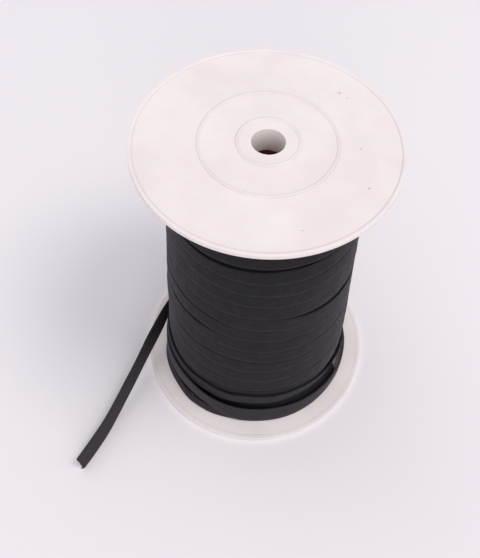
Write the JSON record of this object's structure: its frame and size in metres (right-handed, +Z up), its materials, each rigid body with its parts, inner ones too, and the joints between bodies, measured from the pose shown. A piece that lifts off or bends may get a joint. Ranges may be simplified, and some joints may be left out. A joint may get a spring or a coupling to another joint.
{
  "type": "roll of sewing elastic",
  "caption": "Flat sewing elastic wound on a flanged plastic spool that stands on end, with its loose end running down to the floor beside it.",
  "frame": {"origin": "on the spool's axis, on the floor under the lower flange's rim", "axes": "+Z up the spool's axis, +X to the right and +Y away as seen in the picture"},
  "size_m": [0.1232, 0.1239, 0.146],
  "materials": {
    "spool_plastic": "off-white moulded plastic, satin",
    "core_card": "dark red-brown wound card, matt",
    "elastic": "black braided elastic, matt with a faint sheen"
  },
  "bodies": {
    "root": {"flange_top": "spool_plastic", "flange_bottom": "spool_plastic", "core_tube": "core_card", "elastic_roll": "elastic", "elastic_end": "elastic"}
  },
  "joints": []
}
